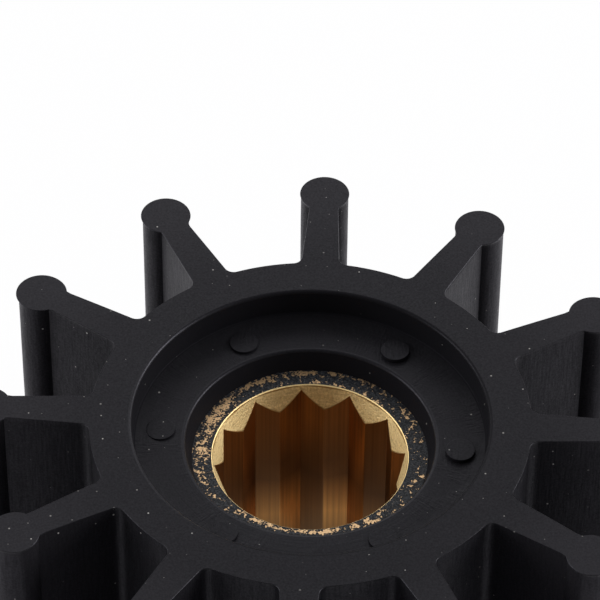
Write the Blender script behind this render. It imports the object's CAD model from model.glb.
"""Looks of a flexible pump impeller: a moulded rubber body bonded onto a splined brass insert.

Sizes inside the classes are millimetres, as on a drawing of the part, and meshes are written in
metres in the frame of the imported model: +Z along the shaft axis, one vane on +X, one on +Y.
"""

import logging
import math
from dataclasses import dataclass, field
from enum import Enum, IntEnum
from typing import Any, Optional, Union

import bmesh
import bpy
import numpy as np
from mathutils import Matrix, Vector


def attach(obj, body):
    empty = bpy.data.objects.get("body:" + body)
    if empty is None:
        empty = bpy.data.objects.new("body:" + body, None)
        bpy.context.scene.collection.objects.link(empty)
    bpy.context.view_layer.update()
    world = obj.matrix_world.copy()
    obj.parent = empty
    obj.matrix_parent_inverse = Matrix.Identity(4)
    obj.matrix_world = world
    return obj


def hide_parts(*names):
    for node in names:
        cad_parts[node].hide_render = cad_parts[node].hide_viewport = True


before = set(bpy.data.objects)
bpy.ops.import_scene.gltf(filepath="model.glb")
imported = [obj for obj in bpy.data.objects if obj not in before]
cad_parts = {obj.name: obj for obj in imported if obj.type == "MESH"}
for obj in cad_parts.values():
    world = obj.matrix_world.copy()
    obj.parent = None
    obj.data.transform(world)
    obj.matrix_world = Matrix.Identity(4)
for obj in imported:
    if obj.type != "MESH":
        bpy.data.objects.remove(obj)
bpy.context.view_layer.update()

MM = 0.001  # metres in a millimetre
WELD = 2e-6  # metres; points nearer than this are one point
SLIVER = WELD / 4  # metres; faces with edges shorter than this are dissolved
SURFACE_MAP = "surface_mm"  # map coordinates in millimetres
MARK_MAP = "marks"  # tone and bareness
LOG = logging.getLogger("impeller")

# node settings and values that several patterns share
MULTIPLY = {"operation": "MULTIPLY"}
MULTIPLY_ADD = {"operation": "MULTIPLY_ADD"}
COLOURS = {"data_type": "RGBA"}
FLAT_NOISE = {"noise_dimensions": "2D"}
UNCLAMPED = {"clamp": False}
IN_MILLIMETRES = {"Strength": 1.0, "Distance": MM}  # for a bump whose height is in millimetres

Source = Union[bpy.types.Node, bpy.types.NodeSocket]


class Slot(Enum):
    """The record's material slots."""

    RUBBER = "rubber"
    BRASS = "brass"


class Body(Enum):
    """The bodies that pieces ride on."""

    ROOT = "root"


class End(Enum):
    """The two ends of the impeller along its shaft."""

    UPPER = 1
    LOWER = -1


class Side(IntEnum):
    """The two sides of a vane, seen from the hub."""

    LEFT = 1
    RIGHT = -1


class Run(Enum):
    """The runs of a recess, from its mouth inwards."""

    RIM = "rim"
    WALL = "wall"
    FLOOR = "floor"
    LIP = "lip"
    THROAT = "throat"


class RubberFinish(IntEnum):
    """Material numbers on the rubber body."""

    WALL = 0
    FACE = 1
    FLOOR = 2
    MATT = 3
    RIM = 4


class BrassFinish(IntEnum):
    """Material numbers on the insert."""

    BROACHED = 0
    TURNED = 1
    FACED = 2


# ---------------------------------------------------------------- colour and node helpers


def linear(hex_colour: str) -> tuple[float, float, float, float]:
    """Turn an sRGB hex colour into linear RGBA.

    Args:
        hex_colour: Six hex digits, with or without a leading #.

    Returns:
        Linear red, green and blue, and an alpha of 1.
    """
    digits = hex_colour.lstrip("#")
    srgb = np.array([int(digits[i : i + 2], 16) for i in (0, 2, 4)]) / 255
    values = np.where(srgb <= 0.04045, srgb / 12.92, ((srgb + 0.055) / 1.055) ** 2.4)
    return (float(values[0]), float(values[1]), float(values[2]), 1.0)


def add_node(
    tree: bpy.types.NodeTree,
    kind: str,
    settings: Optional[dict[str, Any]] = None,
    values: Optional[dict[Any, Any]] = None,
    links: Optional[dict[Any, Source]] = None,
) -> bpy.types.Node:
    """Add a node with its settings, socket values and incoming links.

    Args:
        tree: The node tree that gets the node.
        kind: The node's type name, without its ShaderNode prefix.
        settings: Attribute values.
        values: Input values by socket name or number.
        links: By the name or number of the input, the output socket that feeds it, or the node
            whose first output does.

    Returns:
        The new node.
    """
    node = tree.nodes.new("ShaderNode" + kind)
    for name, value in (settings or {}).items():
        setattr(node, name, value)
    for name, value in (values or {}).items():
        node.inputs[name].default_value = value
    for name, source in (links or {}).items():
        output = source.outputs[0] if isinstance(source, bpy.types.Node) else source
        tree.links.new(output, node.inputs[name])
    return node


def fineness(width: float) -> float:
    """Scale of a pattern on Object coordinates whose grains are about a width in mm apart."""
    return 1 / (width * MM)


def new_material(name: str) -> tuple[bpy.types.Material, bpy.types.NodeTree]:
    """Make an empty node material.

    Args:
        name: The material's name.

    Returns:
        The material and its cleared node tree.
    """
    material = bpy.data.materials.new(name)
    material.use_nodes = True
    material.node_tree.nodes.clear()
    return material, material.node_tree


@dataclass(frozen=True)
class Places:
    """What a finish's patterns read at a point of the surface.

    Attributes:
        spot: Object coordinates, in metres.
        mapped: Map coordinates that follow the surface, in millimetres.
        tone: The tone mark.
        bareness: The bareness mark.
    """

    spot: bpy.types.NodeSocket
    mapped: bpy.types.NodeSocket
    tone: bpy.types.NodeSocket
    bareness: bpy.types.NodeSocket


def read_places(tree: bpy.types.NodeTree) -> Places:
    """Add the nodes that read coordinates and marks.

    Args:
        tree: The node tree that gets them.

    Returns:
        Their output sockets.
    """
    spot = add_node(tree, "TexCoord").outputs["Object"]
    mapped = add_node(tree, "UVMap", {"uv_map": SURFACE_MAP}).outputs[0]
    marks = add_node(tree, "UVMap", {"uv_map": MARK_MAP})
    mark = add_node(tree, "SeparateXYZ", links={0: marks})
    return Places(spot, mapped, mark.outputs[0], mark.outputs[1])


# ---------------------------------------------------------------- mesh helpers


@dataclass
class Shell:
    """Patches of a surface, gathered in millimetres and welded into one mesh.

    Attributes:
        points: Arrays of points, one for each patch.
        uvs: Arrays of map coordinates in millimetres, one for each patch.
        faces: Arrays of quads as indices into all points.
        finishes: Arrays with the material number of each face.
        marks: Arrays of pairs of tone and bareness, one for each patch.
        count: Number of points so far.
    """

    points: list[np.ndarray] = field(default_factory=list)
    uvs: list[np.ndarray] = field(default_factory=list)
    faces: list[np.ndarray] = field(default_factory=list)
    finishes: list[np.ndarray] = field(default_factory=list)
    marks: list[np.ndarray] = field(default_factory=list)
    count: int = 0

    def add_grid(
        self,
        points: np.ndarray,
        uv: np.ndarray,
        finish: int,
        flip: bool = False,
        keep: Optional[np.ndarray] = None,
        marks: Optional[np.ndarray] = None,
    ) -> None:
        """Add a grid patch; neighbouring rows and columns make its quads.

        Args:
            points: Array of shape (rows, columns, 3) in millimetres.
            uv: Array of shape (rows, columns, 2) in millimetres.
            finish: The material number of its faces.
            flip: Whether the faces are turned over.
            keep: Mask of shape (rows - 1, columns - 1) of the quads to keep.
            marks: Array of shape (rows, columns, 2) with tone and bareness; 1 and 0 if left out.
        """
        rows, columns = points.shape[:2]
        index = self.count + np.arange(rows * columns).reshape(rows, columns)
        quads = np.stack([index[:-1, :-1], index[:-1, 1:], index[1:, 1:], index[1:, :-1]], -1)
        if keep is not None:
            quads = quads[keep]
        quads = quads.reshape(-1, 4)
        if flip:
            quads = quads[:, ::-1]
        self.points.append(points.reshape(-1, 3))
        self.uvs.append(uv.reshape(-1, 2))
        self.faces.append(quads)
        self.finishes.append(np.full(len(quads), int(finish)))
        plain = paired(np.ones((rows, columns)))
        self.marks.append((plain if marks is None else marks).reshape(-1, 2))
        self.count += rows * columns

    def build(self, name: str, sharp_degrees: float) -> bpy.types.Object:
        """Weld the patches and make the object.

        Args:
            name: The object's name.
            sharp_degrees: Edges that turn by more than this stay sharp.

        Returns:
            The object, at the origin, with its place in its mesh.
        """
        points = np.concatenate(self.points) * MM
        faces = np.concatenate(self.faces)
        mesh = bpy.data.meshes.new(name)
        mesh.from_pydata(points.tolist(), [], faces.tolist())
        mesh.polygons.foreach_set("material_index", np.concatenate(self.finishes).astype(np.int32))
        for layer_name, pairs in ((SURFACE_MAP, self.uvs), (MARK_MAP, self.marks)):
            layer = mesh.uv_layers.new(name=layer_name)
            corners = np.concatenate(pairs)[faces.reshape(-1)]
            layer.data.foreach_set("uv", corners.astype(np.float32).reshape(-1))
        work = bmesh.new()
        work.from_mesh(mesh)
        bmesh.ops.remove_doubles(work, verts=work.verts, dist=WELD)
        bmesh.ops.dissolve_degenerate(work, edges=work.edges, dist=SLIVER)
        work.to_mesh(mesh)
        work.free()
        mesh.validate()
        mesh.shade_smooth()
        mesh.set_sharp_from_angle(angle=math.radians(sharp_degrees))
        piece = bpy.data.objects.new(name, mesh)
        bpy.context.scene.collection.objects.link(piece)
        return piece


def directions(angles: np.ndarray) -> np.ndarray:
    """Unit vectors (cos, sin) at some angles in radians, along a new last axis."""
    return np.stack([np.cos(angles), np.sin(angles)], -1)


def polar(points: np.ndarray) -> tuple[np.ndarray, np.ndarray]:
    """Distance from the shaft axis, and angle about it in degrees, of some points."""
    across, along = points[..., 0], points[..., 1]
    return np.hypot(across, along), np.degrees(np.arctan2(along, across))


def lifted(flat: np.ndarray, height: Union[float, np.ndarray]) -> np.ndarray:
    """Put points of a plan, whose last axis is (x, y), at a height or at heights of their own."""
    return np.concatenate([flat, np.broadcast_to(height, flat.shape[:-1])[..., None]], -1)


def paired(first: np.ndarray, second: Union[float, np.ndarray] = 0.0) -> np.ndarray:
    """Pairs along a new last axis: map coordinates, or the marks of tone and bareness."""
    return np.stack(np.broadcast_arrays(first, second), -1)


def arc_radius(run: float, climb: float) -> float:
    """Radius of an arc that starts level: (w * w + h * h) / (2 * h) for a run w and a climb h.

    Args:
        run: How far the arc runs outwards.
        climb: How far it climbs over that run.

    Returns:
        The radius, in the same unit.
    """
    return (run**2 + climb**2) / (2 * climb)


def rounded_chain(corners: list[tuple[float, float, float]], steps: int) -> np.ndarray:
    """A chain of straight runs with a tangent arc of a given radius at each inner corner.

    At a corner whose turn is t, the arc of radius r leaves each run r * tan(t / 2) before the
    corner, and its points are the centre plus r times a direction that turns evenly by t.

    Args:
        corners: Points as (across, up, radius); a radius of 0 leaves the corner sharp.
        steps: Spans on each arc.

    Returns:
        Array of shape (points, 2).
    """
    places = np.array([corner[:2] for corner in corners], float)
    made = [places[:1]]
    for before, here, after, (_, _, radius) in zip(places, places[1:], places[2:], corners[1:]):
        if radius == 0:
            made.append(here[None])
            continue
        inward = (here - before) / np.linalg.norm(here - before)
        outward = (after - here) / np.linalg.norm(after - here)
        cross = inward[0] * outward[1] - inward[1] * outward[0]
        turn = math.atan2(cross, float(inward @ outward))
        side = math.copysign(1.0, turn)
        start = here - inward * radius * math.tan(abs(turn) / 2)
        centre = start + side * radius * np.array([-inward[1], inward[0]])
        spoke = start - centre
        angles = np.linspace(0, turn, steps + 1)
        cosine, sine = np.cos(angles), np.sin(angles)
        swung = [spoke[0] * cosine - spoke[1] * sine, spoke[0] * sine + spoke[1] * cosine]
        made.append(centre + np.stack(swung, -1))
    made.append(places[-1:])
    return np.concatenate(made)


def run_length(points: np.ndarray) -> np.ndarray:
    """Length along a chain of points, from its start to each point.

    Args:
        points: Array of shape (points, dimensions).

    Returns:
        Array of shape (points,), starting at 0.
    """
    spans = np.linalg.norm(np.diff(points, axis=0), axis=1)
    return np.concatenate([[0.0], np.cumsum(spans)])


def lathe(profile: np.ndarray, angles: np.ndarray) -> tuple[np.ndarray, np.ndarray]:
    """Turn a profile about the shaft axis.

    Point (i, j) is at radius profile[i, 0] and height profile[i, 1], at angle angles[j].

    Args:
        profile: Array of shape (rows, 2), as radius and height.
        angles: Array of shape (columns,), in radians.

    Returns:
        Points of shape (rows, columns, 3) and their maps of shape (rows, columns, 2), which run
        along the circle and along the profile.
    """
    points = lifted(profile[:, :1, None] * directions(angles), profile[:, 1:])
    along = run_length(profile)[:, None]
    mean_radius = float(profile[:, 0].mean())
    return points, paired(mean_radius * angles, along)


def ripple(seed: int, position: np.ndarray, wavelengths: tuple[float, ...]) -> np.ndarray:
    """Smooth random ripple between about -1 and 1, as a sum of sines with random phases.

    Args:
        seed: Seed of the phases.
        position: Positions in millimetres, of any shape.
        wavelengths: Wavelength of each sine in millimetres.

    Returns:
        Array of the same shape as position.
    """
    draw = np.random.default_rng(seed)
    phases = draw.uniform(0, 2 * np.pi, len(wavelengths))
    total = sum(
        np.sin(2 * np.pi * position / wavelength + phase)
        for wavelength, phase in zip(wavelengths, phases)
    )
    return total / len(wavelengths)


# ---------------------------------------------------------------- finishes


@dataclass(frozen=True)
class MouldedNitrile:
    """Nitrile rubber as it leaves a steel mould and a trimming knife.

    It is near black from its carbon filler, with a dull waxy sheen, and it gathers pale dust.

    Attributes:
        name: The material's name.
        streak: Depth of the fine upright draw lines, in millimetres.
        rings: Depth of the turning rings that the mould's floor printed, in millimetres.
        chatter: Depth of the tool's chatter marks that it printed here and there, in millimetres.
        grain: Depth of the fine pebbled grain, in millimetres.
        roughness: Roughness of the skin.
        dusty: Share of the dust cells that hold a speck.
        mottle: How much the sheen changes from pebble to pebble.
        lined: How much the sheen drops along the darkest draw lines.
    """

    name: str
    streak: float = 0.0
    rings: float = 0.0
    chatter: float = 0.0
    grain: float = 0.012
    roughness: float = 0.43
    dusty: float = 0.2
    mottle: float = 0.3
    lined: float = 0.0
    body_hex: str = "#131315"
    bloom_hex: str = "#1a191c"
    worn_hex: str = "#201f22"
    dust_hex: str = "#b9b6b2"
    specular_level: float = 0.12
    specular_hex: str = "#f0eeff"
    ior: float = 1.5
    grain_width: float = 0.35  # mm between two pebbles of the relief
    pebble_width: float = 0.28  # mm between two pebbles of the sheen
    pebble_levels: tuple[float, float] = (0.3, 0.7)  # noise levels of the dullest and brightest
    streak_width: float = 0.32  # mm between two draw lines
    streak_length: float = 4.0  # mm that a draw line keeps its tone
    streak_levels: tuple[float, float] = (0.28, 0.62)  # noise levels of the darkest and brightest
    streak_gain: float = 0.45  # what the brightest lines gain, as a share of what the darkest lose
    ring_width: float = 0.45  # mm between two turning rings
    chatter_width: float = 0.34  # mm between two chatter marks
    chatter_length: float = 1.5  # mm
    chatter_turn: float = -0.5  # radians that the marks lean from the radius
    chatter_patch: float = 6.0  # mm across a patch of chatter
    chatter_levels: tuple[float, float] = (0.47, 0.6)  # noise levels of a patch's edge and middle
    bloom_width: float = 6.0  # mm across a patch of pale bloom
    bloom_roughness: tuple[float, float] = (-0.05, 0.07)  # change on clear rubber and on bloom
    worn_from: float = 29.0  # mm from the shaft axis, where handling starts to show
    worn_to: float = 45.0  # mm from the shaft axis, where it shows in full
    dust_cell: float = 2.6  # mm, one speck at most in each
    speck_radius: float = 0.13  # mm; real dust is finer and would not show
    speck_core: float = 0.3  # share of a speck's radius inside which it is palest
    speck_shrink: tuple[float, float] = (2.2, 0.7)  # how much smaller a speck may be, or larger

    def make(self) -> bpy.types.Material:
        """Build the node material."""
        material, tree = new_material(self.name)
        places = read_places(tree)
        flat = add_node(tree, "Mapping", None, {"Scale": (1.0, 1.0, 0.0)}, {0: places.spot})
        length = add_node(tree, "VectorMath", {"operation": "LENGTH"}, links={0: flat})
        radius = length.outputs["Value"]
        cloudy = {"Scale": fineness(self.bloom_width), "Detail": 4.0}
        bloom = add_node(tree, "TexNoise", None, cloudy, {0: places.spot})
        clear, bloomed = (self.roughness + change for change in self.bloom_roughness)
        sheen = add_node(tree, "MapRange", None, {3: clear, 4: bloomed}, {0: bloom})
        height = self.relief(tree, places, radius)
        surface = add_node(
            tree,
            "BsdfPrincipled",
            values={"IOR": self.ior, "Specular Tint": linear(self.specular_hex)},
            links={
                "Specular IOR Level": self.gloss(tree, places),
                "Base Color": self.colour(tree, places, bloom, radius),
                "Roughness": sheen,
                "Normal": add_node(tree, "Bump", None, IN_MILLIMETRES, {"Height": height}),
            },
        )
        add_node(tree, "OutputMaterial", links={"Surface": surface})
        return material

    def colour(
        self, tree: bpy.types.NodeTree, places: Places, bloom: Source, radius: Source
    ) -> bpy.types.NodeSocket:
        """Near black with patches of bloom, paler where vanes are handled, and specks of dust.

        Args:
            tree: The node tree.
            places: What the patterns read.
            bloom: Noise of the bloom.
            radius: Distance from the shaft axis in metres.

        Returns:
            The colour's socket.
        """
        body, bloomed = linear(self.body_hex), linear(self.bloom_hex)
        tone = add_node(tree, "Mix", COLOURS, {6: body, 7: bloomed}, {0: bloom})
        reach = {1: self.worn_from * MM, 2: self.worn_to * MM}
        tip = add_node(tree, "MapRange", {"interpolation_type": "SMOOTHSTEP"}, reach, {0: radius})
        worn = add_node(tree, "Mix", COLOURS, {7: linear(self.worn_hex)}, {0: tip, 6: tone.outputs[2]})
        speck = self.dust(tree, places.mapped)
        over = {0: speck, 6: worn.outputs[2]}
        return add_node(tree, "Mix", COLOURS, {7: linear(self.dust_hex)}, over).outputs[2]

    def streak_scale(self) -> tuple[float, float, float]:
        """Scale that makes a noise of width 1 into draw lines."""
        return (1 / self.streak_width, 1 / self.streak_length, 1.0)

    def gloss(self, tree: bpy.types.NodeTree, places: Places) -> bpy.types.Node:
        """Specular level, which changes from pebble to pebble and from draw line to draw line.

        The last node multiplies the pattern by the plain level, so that a reader which leaves the
        pattern out still has that level.

        Args:
            tree: The node tree.
            places: What the patterns read.

        Returns:
            The node with the level.
        """
        grains = {"Scale": fineness(self.pebble_width), "Detail": 2.0, "Roughness": 0.6}
        pebbles = add_node(tree, "TexNoise", None, grains, {0: places.spot})
        low, high = self.pebble_levels
        shades = {1: low, 2: high, 3: 1 - self.mottle, 4: 1 + self.mottle}
        level = add_node(tree, "MapRange", None, shades, {0: pebbles})
        if self.lined:
            stretch = add_node(tree, "Mapping", None, {"Scale": self.streak_scale()}, {0: places.mapped})
            wavy = {"Scale": 1.0, "Detail": 3.0, "Roughness": 0.65, "Distortion": 0.25}
            lines = add_node(tree, "TexNoise", FLAT_NOISE, wavy, {0: stretch})
            low, high = self.streak_levels
            shades = {1: low, 2: high, 3: 1 - self.lined, 4: 1 + self.streak_gain * self.lined}
            shade = add_node(tree, "MapRange", None, shades, {0: lines})
            level = add_node(tree, "Math", MULTIPLY, None, {0: level, 1: shade})
        level = add_node(tree, "Math", MULTIPLY, None, {0: level, 1: places.tone})
        return add_node(tree, "Math", MULTIPLY, {1: self.specular_level}, {0: level})

    def dust(self, tree: bpy.types.NodeTree, mapped: bpy.types.NodeSocket) -> bpy.types.Node:
        """Mask of scattered specks: the core of some cells of a Voronoi pattern.

        Args:
            tree: The node tree.
            mapped: Map coordinates in millimetres.

        Returns:
            The node with a factor that is 1 on a speck.
        """
        flat_cells = {"feature": "F1", "voronoi_dimensions": "2D"}
        cells = add_node(tree, "TexVoronoi", flat_cells, {"Scale": 1 / self.dust_cell}, {0: mapped})
        pick = add_node(tree, "SeparateColor", links={0: cells.outputs["Color"]})
        chosen = add_node(tree, "Math", {"operation": "LESS_THAN"}, {1: self.dusty}, {0: pick})
        small, large = self.speck_shrink
        size = add_node(tree, "MapRange", None, {3: small, 4: large}, {0: pick.outputs[2]})
        reach = add_node(tree, "Math", MULTIPLY, None, {0: cells.outputs["Distance"], 1: size})
        edge = self.speck_radius / self.dust_cell
        palest = self.speck_core * self.speck_radius / self.dust_cell
        core = add_node(tree, "MapRange", None, {1: edge, 2: palest}, {0: reach})
        faded = add_node(tree, "Math", MULTIPLY, None, {0: core, 1: chosen})
        return add_node(tree, "Math", MULTIPLY, None, {0: faded, 1: pick.outputs[1]})

    def relief(self, tree: bpy.types.NodeTree, places: Places, radius: Source) -> bpy.types.Node:
        """Height in millimetres: pebbled grain, with draw lines or turning rings where asked.

        Args:
            tree: The node tree.
            places: What the patterns read.
            radius: Distance from the shaft axis in metres.

        Returns:
            The node with the height.
        """
        pebbled = {"Scale": fineness(self.grain_width), "Detail": 3.0}
        grain = add_node(tree, "TexNoise", None, pebbled, {0: places.spot})
        height = add_node(tree, "Math", MULTIPLY, {1: self.grain}, {0: grain})
        if self.streak:
            stretch = add_node(tree, "Mapping", None, {"Scale": self.streak_scale()}, {0: places.mapped})
            lines = add_node(tree, "TexNoise", None, {"Scale": 1.0, "Detail": 4.0}, {0: stretch})
            height = add_node(tree, "Math", MULTIPLY_ADD, {1: self.streak}, {0: lines, 2: height})
        if self.rings:
            rings = {"Scale": fineness(self.ring_width), "Detail": 3.0}
            ring = add_node(tree, "TexNoise", {"noise_dimensions": "1D"}, rings, {"W": radius})
            height = add_node(tree, "Math", MULTIPLY_ADD, {1: self.rings}, {0: ring, 2: height})
        if self.chatter:
            height = self.chattered(tree, places, height)
        return height

    def chattered(self, tree: bpy.types.NodeTree, places: Places, height: Source) -> bpy.types.Node:
        """Add patches of short marks that lie across the turning rings.

        Args:
            tree: The node tree.
            places: What the patterns read.
            height: The height so far.

        Returns:
            The node with the new height.
        """
        scale = (1 / self.chatter_width, 1 / self.chatter_length, 1.0)
        slant = {"Rotation": (0.0, 0.0, self.chatter_turn), "Scale": scale}
        stretch = add_node(tree, "Mapping", None, slant, {0: places.mapped})
        marks = add_node(tree, "TexNoise", FLAT_NOISE, {"Scale": 1.0, "Detail": 1.0}, {0: stretch})
        wide = {"Scale": fineness(self.chatter_patch)}
        patch = add_node(tree, "TexNoise", None, wide, {0: places.spot})
        low, high = self.chatter_levels
        share = add_node(tree, "MapRange", None, {1: low, 2: high, 3: 0.0, 4: self.chatter}, {0: patch})
        return add_node(tree, "Math", MULTIPLY_ADD, None, {0: marks, 1: share, 2: height})


@dataclass(frozen=True)
class MachinedBrass:
    """Free-cutting brass, turned on its faces and broached in its bore.

    It is yellow and bright where it was turned, and browner down the bore, where cutting oil and
    air have dulled it. A torn film of moulded rubber still covers most of its end faces.

    Attributes:
        name: The material's name.
        lines: Depth of the tool lines, in millimetres.
        upright: Whether the tool lines run along the shaft, as broaching leaves them.
        streaks: How much the tone changes from one tool line to the next.
        mottle: How much the tone changes from grain to grain.
        film: Whether a torn film of rubber covers what isn't bare.
        pits: Depth of the small pits that the tool tore, in millimetres.
    """

    name: str
    lines: float = 0.004
    upright: bool = False
    streaks: float = 0.12
    mottle: float = 0.0
    film: bool = False
    pits: float = 0.0
    bright_hex: str = "#fae2ab"
    dull_hex: str = "#d9b97f"
    film_hex: str = "#141519"
    thin_film_hex: str = "#3a3c40"
    roughness: float = 0.5
    line_width: float = 0.12  # mm between two tool lines
    line_length: float = 12.0  # mm that a tool line keeps its tone
    streak_fineness: float = 0.3  # scale of the tone streaks against that of the tool lines
    streak_levels: tuple[float, float] = (0.3, 0.7)  # noise levels of the dullest and brightest
    pit_width: float = 0.3  # mm between two pits
    mottle_width: float = 0.3  # mm between two grains of the tone
    mottle_levels: tuple[float, float] = (0.35, 0.65)  # noise levels of the dullest and brightest
    film_width: float = 0.85  # mm across a tear in the film
    film_height: float = 0.06  # mm
    film_edge: tuple[float, float] = (0.905, 0.865)  # noise levels where it is gone and whole
    film_bared: float = 0.22  # how far full bareness raises the noise
    film_grain: float = 0.7  # height of the film's grain, as a share of the film's height
    film_roughness: float = 0.45
    film_specular: float = 0.15
    thin_levels: tuple[float, float] = (0.4, 0.62)  # noise levels of the thickest and thinnest
    pinhole_width: float = 0.26  # mm between two pinholes in the film
    pinholes: float = 0.45  # weight of the pinholes' noise beside that of the tears

    def make(self) -> bpy.types.Material:
        """Build the node material."""
        material, tree = new_material(self.name)
        places = read_places(tree)
        across, along = 1 / self.line_width, 1 / self.line_length
        scale = (across, along, 1.0) if self.upright else (along, across, 1.0)
        stretch = add_node(tree, "Mapping", None, {"Scale": scale}, {0: places.mapped})
        lines = add_node(tree, "TexNoise", None, {"Scale": 1.0, "Detail": 3.0}, {0: stretch})
        height = add_node(tree, "Math", MULTIPLY, {1: self.lines}, {0: lines})
        if self.pits:
            pitted = {"Scale": fineness(self.pit_width), "Detail": 2.0}
            torn = add_node(tree, "TexNoise", None, pitted, {0: places.spot})
            height = add_node(tree, "Math", MULTIPLY_ADD, {1: self.pits}, {0: torn, 2: height})
        bump = add_node(tree, "Bump", None, IN_MILLIMETRES, {"Height": height})
        share = self.shine(tree, places, scale)
        dull, bright = linear(self.dull_hex), linear(self.bright_hex)
        tone = add_node(tree, "Mix", COLOURS, {6: dull, 7: bright}, {0: share})
        surface = add_node(
            tree,
            "BsdfPrincipled",
            values={"Metallic": 1.0, "Roughness": self.roughness},
            links={"Base Color": tone.outputs[2], "Normal": bump},
        )
        if self.film:
            surface = self.add_film(tree, places, surface)
        add_node(tree, "OutputMaterial", links={"Surface": surface})
        return material

    def shine(
        self, tree: bpy.types.NodeTree, places: Places, scale: tuple[float, float, float]
    ) -> bpy.types.Node:
        """Share of the bright tone: the tone mark, changed by streaks and by grains.

        Args:
            tree: The node tree.
            places: What the patterns read.
            scale: Scale of the tool lines.

        Returns:
            The node with the share.
        """
        wide_scale = tuple(self.streak_fineness * value for value in scale)
        stretch = add_node(tree, "Mapping", None, {"Scale": wide_scale}, {0: places.mapped})
        wide = add_node(tree, "TexNoise", None, {"Scale": 1.0, "Detail": 4.0}, {0: stretch})
        low, high = self.streak_levels
        shades = {1: low, 2: high, 3: 1 - self.streaks, 4: 1 + self.streaks}
        streak = add_node(tree, "MapRange", UNCLAMPED, shades, {0: wide})
        share = add_node(tree, "Math", MULTIPLY, None, {0: places.tone, 1: streak})
        if self.mottle:
            mottled = {"Scale": fineness(self.mottle_width), "Detail": 3.0, "Roughness": 0.6}
            grains = add_node(tree, "TexNoise", None, mottled, {0: places.spot})
            low, high = self.mottle_levels
            shades = {1: low, 2: high, 3: 1 - self.mottle, 4: 1 + self.mottle}
            factor = add_node(tree, "MapRange", UNCLAMPED, shades, {0: grains})
            share = add_node(tree, "Math", MULTIPLY, None, {0: share, 1: factor})
        return share

    def add_film(self, tree: bpy.types.NodeTree, places: Places, metal: Source) -> bpy.types.Node:
        """Lay a torn film of rubber over the metal.

        The film is torn where a fine noise, raised by the bareness, passes a level.

        Args:
            tree: The node tree.
            places: What the patterns read; a bareness of 1 is where most of the film is gone.
            metal: The shader of the bare metal.

        Returns:
            The node with the shader of metal and film together.
        """
        ragged = {"Scale": fineness(self.film_width), "Detail": 5.0, "Roughness": 0.62, "Distortion": 0.6}
        tears = add_node(tree, "TexNoise", None, ragged, {0: places.spot})
        fine = {"Scale": fineness(self.pinhole_width), "Detail": 2.0}
        grain = add_node(tree, "TexNoise", None, fine, {0: places.spot})
        bared = {0: places.bareness, 2: tears}
        torn = add_node(tree, "Math", MULTIPLY_ADD, {1: self.film_bared}, bared)
        level = add_node(tree, "Math", MULTIPLY_ADD, {1: self.pinholes}, {0: grain, 2: torn})
        gone, whole = self.film_edge
        mask = add_node(tree, "MapRange", None, {1: gone, 2: whole}, {0: level})
        height = add_node(tree, "Math", MULTIPLY_ADD, {1: self.film_grain}, {0: grain, 2: mask})
        thickness = {"Strength": 1.0, "Distance": self.film_height * MM}
        raised = add_node(tree, "Bump", None, thickness, {"Height": height})
        thick, thin = self.thin_levels
        speckle = add_node(tree, "MapRange", None, {1: thick, 2: thin}, {0: grain})
        coats = {6: linear(self.film_hex), 7: linear(self.thin_film_hex)}
        coat = add_node(tree, "Mix", COLOURS, coats, {0: speckle})
        rubber = add_node(
            tree,
            "BsdfPrincipled",
            values={"Roughness": self.film_roughness, "Specular IOR Level": self.film_specular},
            links={"Base Color": coat.outputs[2], "Normal": raised},
        )
        return add_node(tree, "MixShader", links={0: mask, 1: metal, 2: rubber})


# ---------------------------------------------------------------- rubber body


@dataclass(frozen=True)
class VaneForm:
    """How one moulded vane differs from the drawing, in millimetres.

    Attributes:
        lean: How far the bead stands to the left of its place, seen from the hub.
        growth: How far the bead stands out past its place.
        thin: How far the wall lies inside the drawing.
    """

    lean: float = 0.0
    growth: float = 0.0
    thin: float = 0.07


@dataclass(frozen=True)
class Flash:
    """A swelling of the trimmed edge, where the knife left rubber standing over the wall.

    Attributes:
        vane: The vane's number, counted from the one on +X.
        side: The vane's side that it is on.
        place: Millimetres from the middle of the root fillet towards the tip.
        spread: Half width of the swelling, in millimetres.
        overhang: How far it stands out, in millimetres.
    """

    vane: int
    side: Side
    place: float
    spread: float
    overhang: float


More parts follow.
